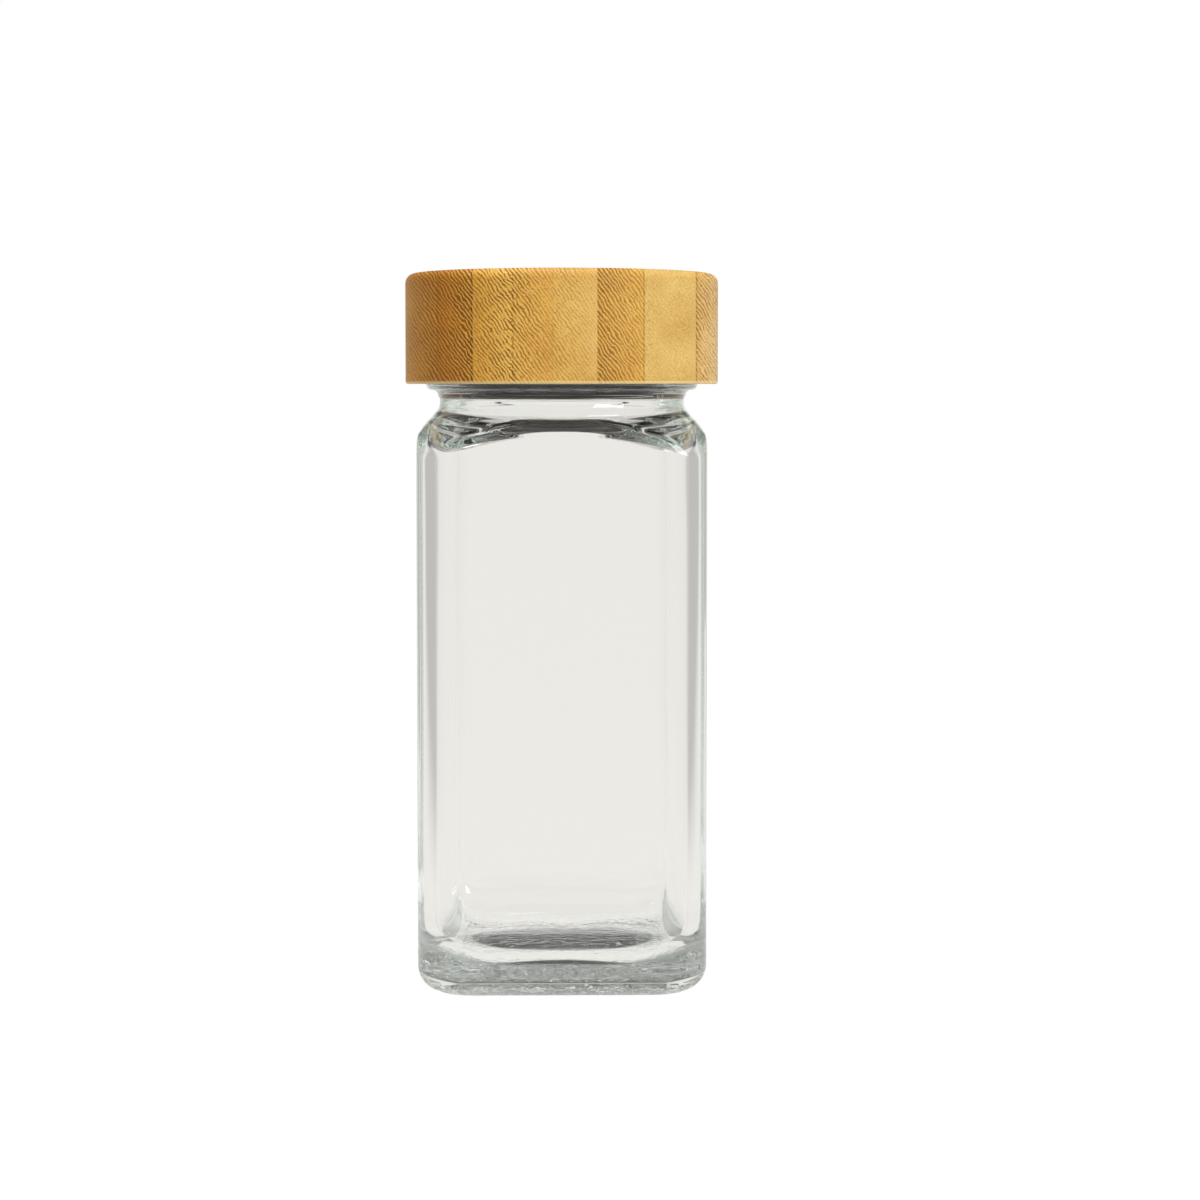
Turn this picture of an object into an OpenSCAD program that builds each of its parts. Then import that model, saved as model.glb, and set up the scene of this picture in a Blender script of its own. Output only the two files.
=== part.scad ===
// Square glass spice jar with a pressed-in shaker disc and a screw lid of laminated bamboo.
// Millimetres, +Z up, origin at the centre of the base, the front of the jar towards -Y.

/* [Jar body] */
// Width of the square body across its flat sides
body_w = 44; // [42:0.5:60]
// Height of the body up to the shoulder at its corners
body_h = 82.9; // [60:0.1:120]
// Radius of the four upright corners outside
corner_r = 6; // [4:0.5:10]
// Radius of the heel, where the sides turn under the base
heel_r = 4.5; // [3:0.5:6]
// Thickness of the glass in the sides and the shoulder
wall = 2.4; // [1.6:0.1:3]
// Thickness of the glass under the inside floor
base_t = 5; // [4:0.1:8]
// Radius of the four upright corners inside
cavity_corner_r = 5.5; // [3:0.5:8]
// Radius between the inside floor and the inside walls
cavity_heel_r = 4; // [2:0.5:6]
// Diameter of the hollow under the base
punt_d = 29; // [20:0.5:32]
// Depth of the hollow under the base
punt_h = 1.8; // [0.8:0.1:2.5]

/* [Shoulder and neck] */
// Rise of the shoulder from the body's corners to the neck
shoulder_h = 6.3; // [4:0.1:9]
// Radius that rounds the shoulder off over the body's corners
shoulder_corner_r = 4; // [1:0.5:5.5]
// Height of the plain neck between the shoulder and the bead
neck_h = 2.7; // [1.5:0.1:5]
// Outside diameter of the neck and of the wall behind the thread
finish_d = 39.1; // [34:0.1:41]
// Thickness of the glass in the neck
finish_wall = 2.8; // [2.2:0.1:3.4]
// Height of the bead round the neck
bead_t = 2.1; // [1.4:0.1:3]
// How far the bead stands out of the neck
bead_out = 1.75; // [1:0.05:1.95]
// Height of the threaded wall above the bead
finish_h = 9.6; // [9:0.1:14]
// Radius of the rim's outer edge
rim_r = 1; // [0.5:0.1:1.2]
// Radius of the mouth's inner edge
mouth_edge_r = 0.8; // [0.4:0.1:1]

/* [Thread] */
// Rise of the thread in one turn
thread_pitch = 4.23; // [3.8:0.01:5]
// Turns that the jar's thread and the lid's thread each make
thread_turns = 1.25; // [1:0.05:1.3]
// How far a thread stands out of its wall
thread_h = 1.25; // [0.9:0.05:1.4]
// Width of the jar's thread at its root
jar_thread_w = 2.4; // [1.8:0.1:2.6]
// Width of the lid's thread at its root
lid_thread_w = 2; // [1.6:0.1:2.4]
// Gap between a thread's crest and the wall that it faces
thread_gap = 0.3; // [0.2:0.05:0.5]
// Gap between the flanks of the two threads when the lid is shut
flank_gap = 0.15; // [0.1:0.05:0.3]

/* [Shaker disc] */
// Thickness of the flange that lies on the rim
flange_t = 1; // [0.8:0.1:1.5]
// How far the flange stays inside the rim's outer edge
flange_inset = 0.6; // [0.3:0.1:1]
// Thickness of the perforated plate
plate_t = 1.2; // [0.8:0.1:2]
// Length of the skirt that goes down into the mouth
skirt_h = 6.6; // [5:0.1:8]
// Thickness of the skirt
skirt_t = 1.2; // [0.8:0.1:1.6]
// Gap between the skirt and the mouth
skirt_gap = 0.25; // [0.15:0.05:0.4]
// Squeeze of the skirt's two sealing rings in the mouth
ring_squeeze = 0.05; // [0.02:0.01:0.1]
// Diameter of a shaker hole
hole_d = 5; // [3:0.1:5.6]
// Distance from the middle hole to each hole in the ring round it
hole_ring_r = 9; // [7.5:0.1:11]

/* [Lid] */
// Thickness of the bamboo round the liner
lid_wall = 2.1; // [1.8:0.05:4]
// Thickness of the bamboo over the liner
lid_top_t = 3; // [2:0.1:6]
// How far the bamboo reaches down past the top of the bead
lid_overlap = 1.2; // [0.6:0.1:1.8]
// Radius of the lid's top edge
lid_edge_r = 1.5; // [0.5:0.1:1.8]
// Radius of the lid's bottom edges
lid_foot_r = 0.4; // [0.2:0.1:0.6]
// Thickness of the liner's wall
liner_wall = 1.1; // [0.8:0.05:1.5]
// Thickness of the liner's top
liner_top_t = 1.2; // [0.8:0.1:2]
// Height of the liner's foot above the bead
liner_foot_gap = 0.4; // [0.3:0.1:0.8]
// Width of the glue line between the liner and the bamboo
glue_gap = 0.2; // [0.15:0.05:0.4]
// Number of ribs that key the liner into the glue
rib_count = 24; // [8:1:36]
// Thickness of the sealing disc
seal_t = 1.1; // [0.8:0.1:2]
// Gap between the edge of the sealing disc and the liner
seal_edge_gap = 0.3; // [0.2:0.05:0.5]
// Gap over and under the sealing disc
seal_gap = 0.05; // [0.02:0.01:0.1]

/* [Hidden] */

$fn = 96;
// How far cutting shapes run past the faces that they cut
cut = 1;

// Heights above the table
neck_root_z = body_h + shoulder_h;
bead_z = neck_root_z + neck_h;
bead_top_z = bead_z + bead_t;
rim_z = bead_top_z + finish_h;
flange_top_z = rim_z + flange_t;
seal_z = flange_top_z + seal_gap;
seal_top_z = seal_z + seal_t;
liner_ceiling_z = seal_top_z + seal_gap;
liner_top_z = liner_ceiling_z + liner_top_t;
lid_top_z = liner_top_z + lid_top_t;
lid_foot_z = bead_top_z - lid_overlap;
liner_foot_z = bead_top_z + liner_foot_gap;

// Radii about the upright axis
finish_r = finish_d / 2;
mouth_r = finish_r - finish_wall;
bead_r = finish_r + bead_out;
jar_thread_r = finish_r + thread_h;
liner_bore_r = jar_thread_r + thread_gap;
liner_r = liner_bore_r + liner_wall;
lid_bore_r = liner_r + glue_gap;
lid_r = lid_bore_r + lid_wall;
seal_r = liner_bore_r - seal_edge_gap;
flange_r = finish_r - flange_inset;
skirt_r = mouth_r - skirt_gap;

// Shoulder: a hollow curve that starts at the neck and runs out level at the body's corners
corner_reach = body_w / 2 * sqrt(2) - corner_r * (sqrt(2) - 1);
shoulder_run = corner_reach - finish_r;
shoulder_curve_r = (shoulder_run * shoulder_run + shoulder_h * shoulder_h) / (2 * shoulder_h);
shoulder_curve_z = body_h + shoulder_curve_r;
// The curve goes on up inside the neck, so that the two meet cleanly
body_top_z = neck_root_z + cut;
shoulder_round_r = corner_reach - shoulder_corner_r;
shoulder_round_z = shoulder_curve_z - shoulder_corner_r
    - sqrt(shoulder_curve_r * shoulder_curve_r - shoulder_corner_r * shoulder_corner_r);

// Hollow under the base: a cap of this sphere
punt_sphere_r = (punt_d * punt_d / 4 + punt_h * punt_h) / (2 * punt_h);

// Threads: their flanks lean alike, so their gap is the same from root to crest
flank_lean = 0.5;
thread_sink = 0.3;
thread_steps = 60;
thread_taper = 24;
thread_end_share = 0.15;
jar_thread_half = jar_thread_w / 2;
lid_thread_half = lid_thread_w / 2;
lid_thread_drop = jar_thread_half + lid_thread_half - flank_lean * (thread_h + thread_gap) + flank_gap;
jar_thread_z = bead_top_z + (finish_h - rim_r - thread_pitch * thread_turns) / 2;
lid_thread_z = liner_foot_z + lid_thread_half + flank_gap;
// The lid's thread follows the jar's thread, so its start is turned to the height where it lies
lid_thread_angle = 360 * (lid_thread_z + lid_thread_drop - jar_thread_z) / thread_pitch;

// Shaker disc
plate_top_z = rim_z;
plate_bottom_z = plate_top_z - plate_t;
skirt_bottom_z = rim_z - skirt_h;
ring_bead_r = 0.5;
ring_holes = 6;

// Ribs of the liner
rib_r = 0.4;
rib_reach_r = lid_bore_r - 0.05;

// Square with round corners
module rounded_square(w, r) {
    square([w, w - 2 * r], center = true);
    square([w - 2 * r, w], center = true);
    for (x = [-1, 1], y = [-1, 1])
        translate([x * (w / 2 - r), y * (w / 2 - r)]) circle(r);
}

// Side view of the body from z0 to z1, with its lower corners rounded
module side_view(w, z0, z1, low_r) {
    translate([-w / 2, z0 + low_r]) square([w, z1 - z0 - low_r]);
    translate([-w / 2 + low_r, z0]) square([w - 2 * low_r, z1 - z0]);
    for (x = [-1, 1])
        translate([x * (w / 2 - low_r), z0 + low_r]) circle(low_r);
}

// Side view carried right through the body, along Y
module side_block(w, z0, z1, low_r) {
    depth = w + 2 * cut;
    translate([0, depth / 2, 0]) rotate([90, 0, 0])
        linear_extrude(depth) side_view(w, z0, z1, low_r);
}

// Everything under the shoulder's hollow curve, moved inwards by inset, and inside its round corners
module under_shoulder(inset) {
    rotate_extrude() difference() {
        union() {
            square([shoulder_round_r, body_top_z]);
            square([corner_reach, shoulder_round_z]);
            translate([shoulder_round_r, shoulder_round_z]) circle(shoulder_corner_r);
        }
        translate([corner_reach, shoulder_curve_z]) circle(shoulder_curve_r + inset);
    }
}

// Square body that closes in to the shoulder
module body_form(w, r, z0, low_r, inset) {
    intersection() {
        translate([0, 0, z0]) linear_extrude(body_top_z - z0) rounded_square(w, r);
        side_block(w, z0, body_top_z, low_r);
        rotate([0, 0, 90]) side_block(w, z0, body_top_z, low_r);
        under_shoulder(inset);
    }
}

// Neck, bead and threaded wall, filled to the axis
module finish_form() {
    neck_start_z = body_h - wall;
    bead_round_r = 0.43 * bead_t;
    rotate_extrude() {
        translate([0, neck_start_z]) square([finish_r, rim_z - rim_r - neck_start_z]);
        translate([0, neck_start_z]) square([finish_r - rim_r, rim_z - neck_start_z]);
        translate([finish_r - rim_r, rim_z - rim_r]) circle(rim_r);
        translate([0, bead_z]) square([bead_r - bead_round_r, bead_t]);
        translate([0, bead_z + bead_round_r]) square([bead_r, bead_t - 2 * bead_round_r]);
        for (z = [bead_z + bead_round_r, bead_top_z - bead_round_r])
            translate([bead_r - bead_round_r, z]) circle(bead_round_r);
    }
}

// Mouth of the jar, with its round inner edge
module mouth_form() {
    start_z = body_h - wall;
    rotate_extrude() {
        translate([0, start_z]) square([mouth_r, rim_z + cut - start_z]);
        difference() {
            translate([0, rim_z - mouth_edge_r]) square([mouth_r + mouth_edge_r, mouth_edge_r + cut]);
            translate([mouth_r + mouth_edge_r, rim_z - mouth_edge_r]) circle(mouth_edge_r);
        }
    }
}

// Share of a thread's full height at step i of n, which fades at both ends
function thread_share(i, n) =
    let (fade = thread_taper / 360 * thread_steps)
    max(thread_end_share, min(1, i / fade, (n - i) / fade));

// Cross-section of a thread at one angle, from its lower root inside the wall to its upper root
function thread_section(angle, z, root_r, out, half_w, share) =
    let (
        h = thread_h * share,
        half = half_w * (0.5 + 0.5 * share),
        sunk_half = half + flank_lean * thread_sink,
        crest_half = 0.6 * (half - flank_lean * h),
        round_h = 0.75 * h,
        round_half = half - flank_lean * round_h,
        section = [
            [-thread_sink, -sunk_half], [round_h, -round_half], [h, -crest_half],
            [h, crest_half], [round_h, round_half], [-thread_sink, sunk_half]
        ]
    )
    [for (p = section) let (r = root_r + out * p[0]) [r * cos(angle), r * sin(angle), z + p[1]]];

// Right-handed thread; out is 1 on the outside of a wall and -1 on the inside of one
module thread(root_r, out, half_w, z, start_angle) {
    n = round(thread_turns * thread_steps);
    points = [for (i = [0:n])
        each thread_section(
            start_angle + 360 * i / thread_steps, z + thread_pitch * i / thread_steps,
            root_r, out, half_w, thread_share(i, n))];
    k = 6;
    // The order of a face's corners turns round with the side that the thread stands on
    function facing(f) = out > 0 ? f : [for (j = [len(f) - 1:-1:0]) f[j]];
    sides = [for (i = [0:n - 1], j = [0:k - 1]) let (a = i * k + j, b = i * k + (j + 1) % k)
        each [facing([a, b, b + k]), facing([a, b + k, a + k])]];
    start_cap = [for (j = [1:k - 2]) facing([0, j + 1, j])];
    end_cap = [for (j = [1:k - 2]) facing([n * k, n * k + j, n * k + j + 1])];
    polyhedron(points, concat(sides, start_cap, end_cap), convexity = 8);
}

module glass_jar() {
    color([0.86, 0.9, 0.88, 0.45])
    difference() {
        union() {
            body_form(body_w, corner_r, 0, heel_r, 0);
            finish_form();
            thread(finish_r, 1, jar_thread_half, jar_thread_z, 0);
        }
        body_form(body_w - 2 * wall, cavity_corner_r, base_t, cavity_heel_r, wall);
        mouth_form();
        translate([0, 0, punt_h - punt_sphere_r]) sphere(punt_sphere_r);
    }
}

module sifter_insert() {
    color([0.95, 0.95, 0.93])
    difference() {
        rotate_extrude() {
            translate([skirt_r - skirt_t, rim_z]) square([flange_r - skirt_r + skirt_t, flange_t]);
            translate([0, plate_bottom_z]) square([skirt_r, plate_t]);
            translate([skirt_r - skirt_t, skirt_bottom_z]) square([skirt_t, skirt_h]);
            for (share = [0.3, 0.7])
                translate([mouth_r + ring_squeeze - ring_bead_r, skirt_bottom_z + share * skirt_h])
                    circle(ring_bead_r);
        }
        for (i = [0:ring_holes])
            rotate([0, 0, i * 360 / ring_holes])
                translate([i == ring_holes ? 0 : hole_ring_r, 0, plate_bottom_z - cut])
                    cylinder(d = hole_d, h = plate_t + 2 * cut);
    }
}

module bamboo_lid() {
    foot_w = lid_wall - 2 * lid_foot_r;
    color([0.83, 0.66, 0.4])
    rotate_extrude() {
        translate([0, liner_top_z]) square([lid_r - lid_edge_r, lid_top_t]);
        translate([lid_bore_r, liner_top_z]) square([lid_wall, lid_top_t - lid_edge_r]);
        translate([lid_r - lid_edge_r, lid_top_z - lid_edge_r]) circle(lid_edge_r);
        translate([lid_bore_r, lid_foot_z + lid_foot_r])
            square([lid_wall, liner_top_z - lid_foot_z - lid_foot_r]);
        translate([lid_bore_r + lid_foot_r, lid_foot_z]) square([foot_w, 2 * lid_foot_r]);
        for (r = [lid_bore_r + lid_foot_r, lid_r - lid_foot_r])
            translate([r, lid_foot_z + lid_foot_r]) circle(lid_foot_r);
    }
}

module lid_liner() {
    color([0.93, 0.92, 0.88])
    union() {
        rotate_extrude() {
            translate([0, liner_ceiling_z]) square([liner_r, liner_top_t]);
            translate([liner_bore_r, liner_foot_z]) square([liner_wall, liner_top_z - liner_foot_z]);
        }
        for (i = [0:rib_count - 1])
            rotate([0, 0, i * 360 / rib_count])
                translate([rib_reach_r - rib_r, 0, liner_foot_z + rib_r])
                    cylinder(r = rib_r, h = liner_ceiling_z - liner_foot_z - rib_r);
        thread(liner_bore_r, -1, lid_thread_half, lid_thread_z, lid_thread_angle);
    }
}

module seal_disc() {
    color([0.97, 0.97, 0.96])
    translate([0, 0, seal_z]) cylinder(r = seal_r, h = seal_t);
}

glass_jar();
sifter_insert();
bamboo_lid();
lid_liner();
seal_disc();
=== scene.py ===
"""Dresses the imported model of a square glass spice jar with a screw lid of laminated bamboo.

Sizes in the classes are millimetres, as a maker would give them; meshes are written in metres.
"""

import logging
import math
from dataclasses import dataclass, field
from enum import Enum
from typing import Callable, Iterable, Optional, Sequence

import bmesh
import bpy
from mathutils import Matrix, Vector, noise


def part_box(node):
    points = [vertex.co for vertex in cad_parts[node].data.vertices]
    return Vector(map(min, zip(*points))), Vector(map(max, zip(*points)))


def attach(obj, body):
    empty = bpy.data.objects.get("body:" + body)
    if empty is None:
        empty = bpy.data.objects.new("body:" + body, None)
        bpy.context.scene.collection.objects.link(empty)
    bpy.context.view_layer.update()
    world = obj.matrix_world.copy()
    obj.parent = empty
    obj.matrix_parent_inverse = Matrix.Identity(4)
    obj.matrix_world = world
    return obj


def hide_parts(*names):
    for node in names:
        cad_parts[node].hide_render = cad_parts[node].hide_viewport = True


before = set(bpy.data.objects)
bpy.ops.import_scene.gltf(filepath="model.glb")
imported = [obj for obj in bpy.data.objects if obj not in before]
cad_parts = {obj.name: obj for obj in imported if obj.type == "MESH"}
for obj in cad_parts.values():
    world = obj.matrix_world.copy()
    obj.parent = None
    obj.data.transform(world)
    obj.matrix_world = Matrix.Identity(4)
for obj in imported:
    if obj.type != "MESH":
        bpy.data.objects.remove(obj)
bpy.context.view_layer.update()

MM = 0.001
LOG = logging.getLogger("spice_jar")

Lift = Callable[[float], float]
Relief = Callable[[float, float], float]
Pairs = tuple[tuple[float, float], ...]

WHITE = "#ffffff"
SMOOTH = {"interpolation_type": "SMOOTHSTEP"}
TIMES = {"operation": "MULTIPLY"}
# A Mix node's inputs are 0 for the share, 2 and 3 for numbers, and 6 and 7 for colours. Its
# output 2 is the mixed colour.
MIX_COLOURS = {"data_type": "RGBA"}
TINT_COLOURS = {"data_type": "RGBA", "blend_type": "MULTIPLY"}


class Slot(Enum):
    """The record's material slots."""

    GLASS = "glass"
    BAMBOO = "bamboo"
    LINER = "liner_plastic"
    SIFTER = "sifter_plastic"
    SEAL = "seal_foam"


class Body(Enum):
    """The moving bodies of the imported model."""

    JAR = "jar"
    SEAL = "seal"
    LID = "lid"


def node_size(node: str) -> tuple[Vector, Vector]:
    """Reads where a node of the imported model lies.

    Args:
        node: The node's name.

    Returns:
        Its lowest and its highest corner, in millimetres.
    """
    low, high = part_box(node)
    return Vector(low) / MM, Vector(high) / MM


def linear(hex_colour: str) -> tuple[float, float, float, float]:
    """Turns an sRGB hex colour into the linear colour that a shader's socket takes.

    Args:
        hex_colour: Six hex digits after a hash sign.

    Returns:
        Linear red, green and blue, and an alpha of 1.
    """
    channels = [int(hex_colour[i:i + 2], 16) / 255 for i in (1, 3, 5)]
    red, green, blue = (
        c / 12.92 if c <= 0.04045 else ((c + 0.055) / 1.055) ** 2.4 for c in channels
    )
    return red, green, blue, 1.0


def add_node(
    tree: bpy.types.NodeTree,
    kind: str,
    settings: Optional[dict[str, object]] = None,
    **inputs: object,
) -> bpy.types.Node:
    """Adds a node with its settings and its links.

    Args:
        tree: The tree that gets the node.
        kind: Blender's name for the node's type, without the ShaderNode before it.
        settings: Values of the node's own properties.
        **inputs: Values for its inputs, output sockets, or nodes that give their first output.
            A name is the socket's name with underscores for spaces, or "in" and its number.

    Returns:
        The new node.
    """
    node = tree.nodes.new(f"ShaderNode{kind}")
    for name, value in (settings or {}).items():
        setattr(node, name, value)
    for name, value in inputs.items():
        number = name.removeprefix("in")
        socket = node.inputs[int(number) if number.isdigit() else name.replace("_", " ")]
        if isinstance(value, bpy.types.Node):
            value = value.outputs[0]
        if isinstance(value, bpy.types.NodeSocket):
            tree.links.new(value, socket)
        else:
            socket.default_value = value
    return node


def set_ramp(node: bpy.types.Node, stops: Sequence[tuple[float, str]]) -> bpy.types.Node:
    """Sets the stops of a colour ramp.

    Args:
        node: The ramp's node.
        stops: Pairs of a place from 0 to 1 and a hex colour, in order.

    Returns:
        The same node.
    """
    elements = node.color_ramp.elements
    while len(elements) < len(stops):
        elements.new(0.5)
    for element, (place, colour) in zip(elements, stops):
        element.position = place
        element.color = linear(colour)
    return node


def new_material(name: str) -> tuple[bpy.types.Material, bpy.types.NodeTree]:
    """Makes an empty material with nodes.

    Args:
        name: The material's name.

    Returns:
        The material and its node tree.
    """
    material = bpy.data.materials.new(name)
    material.use_nodes = True
    material.node_tree.nodes.clear()
    return material, material.node_tree


def place_in_mm(tree: bpy.types.NodeTree) -> bpy.types.Node:
    """Adds the place of a point of the piece in millimetres, which every pattern starts from.

    Args:
        tree: The material's tree.

    Returns:
        The node whose first output is that place.
    """
    where = add_node(tree, "TexCoord").outputs["Object"]
    return add_node(tree, "VectorMath", {"operation": "SCALE"}, in0=where, Scale=1 / MM)


def smooth_step(low: float, high: float, value: float) -> float:
    """Returns 0 below low and 1 above high, with a soft rise between them."""
    t = min(1.0, max(0.0, (value - low) / (high - low)))
    return t * t * (3 - 2 * t)


def soft_min(one: float, other: float, blend: float) -> float:
    """Returns the smaller of two lengths, rounded off where they are about equal."""
    near = max(0.0, 1 - abs(one - other) / blend)
    return min(one, other) - near**2 * blend / 4


@dataclass(frozen=True)
class Ring:
    """One level outline of a form: a circle, or a square with round corners.

    Attributes:
        z: Its height.
        reach: Its radius, or half its width across the flat sides.
        corner: Radius of its corners, or None for a circle.
        lift: Rise of a point by its angle, over z.
        relief: How far a point stands out, by its angle and its height.
        limit: Radius that the outline keeps within, or None.
        blend: Width over which the outline runs into that limit.
    """

    z: float
    reach: float
    corner: Optional[float] = None
    lift: Optional[Lift] = None
    relief: Optional[Relief] = None
    limit: Optional[float] = None
    blend: float = 0.8

    def radius(self, angle: float) -> float:
        """Finds the outline's distance from the axis.

        Args:
            angle: Direction from the axis, in radians.

        Returns:
            The distance in that direction.
        """
        out = self.reach
        if self.corner is not None and self.corner < self.reach:
            along = abs(math.cos(angle)), abs(math.sin(angle))
            major, minor = max(along), min(along)
            flat = self.reach - self.corner
            out = self.reach / major
            if out * minor > flat:
                middle = flat * (major + minor)
                out = middle + math.sqrt(middle**2 - 2 * flat**2 + self.corner**2)
        if self.limit is not None:
            out = soft_min(out, self.limit, self.blend)
        return out + (self.relief(angle, self.z) if self.relief else 0.0)

    def point(self, angle: float) -> Vector:
        """Finds the outline's point in one direction.

        Args:
            angle: Direction from the axis, in radians.

        Returns:
            The point, in metres.
        """
        radius = self.radius(angle)
        height = self.z + (self.lift(angle) if self.lift else 0.0)
        return Vector((radius * math.cos(angle), radius * math.sin(angle), height)) * MM


def arc(
    centre_r: float, centre_z: float, radius: float, start: float, end: float, steps: int = 4
) -> list[Ring]:
    """Makes the circles of a rounded edge.

    Args:
        centre_r: Distance of the arc's centre from the axis.
        centre_z: Height of the arc's centre.
        radius: The edge's radius.
        start: First angle in degrees: 0 points outwards and 90 upwards.
        end: Last angle in degrees.
        steps: Number of steps from one to the other.

    Returns:
        The circles, both ends included.
    """
    turns = [math.radians(start + (end - start) * i / steps) for i in range(steps + 1)]
    return [
        Ring(centre_z + radius * math.sin(a), centre_r + radius * math.cos(a)) for a in turns
    ]


def flat_face(z: float, radius: float, steps: int = 8) -> list[Ring]:
    """Makes the circles of a flat face, from near its middle to a step short of its edge.

    Args:
        z: The face's height.
        radius: The face's radius.
        steps: Number of steps from the middle to the edge.

    Returns:
        The circles, from the inmost outwards.
    """
    return [Ring(z, radius * i / steps) for i in range(1, steps)]


def curve(keys: Sequence[tuple[float, float]], place: float) -> float:
    """Reads a smooth curve through a few key points.

    Args:
        keys: Pairs of a place and a value, with the places in rising order.
        place: Where to read.

    Returns:
        The value there, or the nearest end's value outside the keys.
    """
    if place <= keys[0][0]:
        return keys[0][1]
    if place >= keys[-1][0]:
        return keys[-1][1]
    i = next(k for k in range(len(keys) - 1) if place <= keys[k + 1][0])
    steps = [b[0] - a[0] for a, b in zip(keys, keys[1:])]
    slopes = [(b[1] - a[1]) / h for a, b, h in zip(keys, keys[1:], steps)]

    def tangent(k: int) -> float:
        """Finds the curve's slope at a key, so that it never overshoots.

        Args:
            k: The key's number.

        Returns:
            The slope.
        """
        if k in (0, len(keys) - 1):
            return slopes[0] if k == 0 else slopes[-1]
        before, after = slopes[k - 1], slopes[k]
        return 0.0 if before * after <= 0 else 2 * before * after / (before + after)

    h = steps[i]
    t = (place - keys[i][0]) / h
    return (
        (2 * t**3 - 3 * t**2 + 1) * keys[i][1]
        + (t**3 - 2 * t**2 + t) * tangent(i) * h
        + (3 * t**2 - 2 * t**3) * keys[i + 1][1]
        + (t**3 - t**2) * tangent(i + 1) * h
    )


def levels(*spans: tuple[float, float, float]) -> list[float]:
    """Lists the heights of a run of outlines.

    Args:
        *spans: First height, last height and greatest step of each span, where one span begins
            at the height where the one before it ends.

    Returns:
        The heights, both ends included and none twice.
    """
    heights = [spans[0][0]]
    for first, last, step in spans:
        count = max(1, math.ceil(abs(last - first) / step))
        heights += [first + (last - first) * i / count for i in range(1, count + 1)]
    return heights


def extrude_edges(
    bm: bmesh.types.BMesh, edges: Sequence[bmesh.types.BMEdge]
) -> tuple[list[bmesh.types.BMVert], list[bmesh.types.BMEdge]]:
    """Extrudes the edges of an outline, where they lie.

    Args:
        bm: The mesh.
        edges: The edges.

    Returns:
        The points and the edges of the new outline.
    """
    grown = bmesh.ops.extrude_edge_only(bm, edges=edges)["geom"]
    return (
        [g for g in grown if isinstance(g, bmesh.types.BMVert)],
        [g for g in grown if isinstance(g, bmesh.types.BMEdge)],
    )


@dataclass
class Lathe:
    """Builds one closed form round the upright axis from a run of outlines.

    Attributes:
        segments: Number of points in each outline.
    """

    segments: int = 192

    def build(self, name: str, rings: Sequence[Ring]) -> bpy.types.Object:
        """Extrudes an outline from ring to ring and closes the form at both ends.

        Args:
            name: Name of the new object.
            rings: The outlines in order, along the form's skin.

        Returns:
            The object, smooth shaded, at the origin.
        """
        bm = bmesh.new()
        step = 2 * math.pi / self.segments
        first = rings[0].reach * MM
        made = bmesh.ops.create_circle(
            bm, cap_ends=True, cap_tris=True, segments=self.segments, radius=first
        )["verts"]
        for vert in made:
            vert.co.z = rings[0].z * MM
        # All of the cap's points but the middle one
        outline = [v for v in made if v.co.xy.length > first / 2]
        self._place(outline, rings[0], step)
        rim = set(outline)
        edges = [e for e in bm.edges if all(v in rim for v in e.verts)]
        for ring in rings[1:]:
            outline, edges = extrude_edges(bm, edges)
            self._place(outline, ring, step)
        pole = Vector((0, 0, rings[-1].z * MM))
        bmesh.ops.pointmerge(bm, verts=outline, merge_co=pole)
        bmesh.ops.recalc_face_normals(bm, faces=bm.faces)
        return finish_mesh(name, bm)

    @staticmethod
    def _place(outline: Iterable[bmesh.types.BMVert], ring: Ring, step: float) -> None:
        """Moves an outline's points onto a ring, each in its own direction.

        Args:
            outline: The points.
            ring: The ring that they move to.
            step: Angle between two points.
        """
        for vert in outline:
            turn = round(math.atan2(vert.co.y, vert.co.x) / step) * step
            vert.co = ring.point(turn)


def shade_smooth(mesh: bpy.types.Mesh) -> None:
    """Shades every face of a mesh smooth."""
    mesh.polygons.foreach_set("use_smooth", [True] * len(mesh.polygons))
    mesh.update()


def finish_mesh(name: str, bm: bmesh.types.BMesh) -> bpy.types.Object:
    """Writes a bmesh into a new, smooth shaded object.

    Args:
        name: The object's name.
        bm: The mesh, which is freed.

    Returns:
        The object, linked to the scene.
    """
    mesh = bpy.data.meshes.new(name)
    bm.to_mesh(mesh)
    bm.free()
    shade_smooth(mesh)
    made = bpy.data.objects.new(name, mesh)
    bpy.context.scene.collection.objects.link(made)
    return made


def place_piece(
    piece: bpy.types.Object, material: bpy.types.Material, body: Body, node: str
) -> None:
    """Gives a piece its material and body, and lets it stand for its node.

    Args:
        piece: The piece.
        material: Its material.
        body: The body that carries it.
        node: The node that it replaces.
    """
    piece.data.materials.append(material)
    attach(piece, body.value)
    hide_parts(node)
    LOG.info("%s: %d faces on %s", piece.name, len(piece.data.polygons), body.value)


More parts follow.
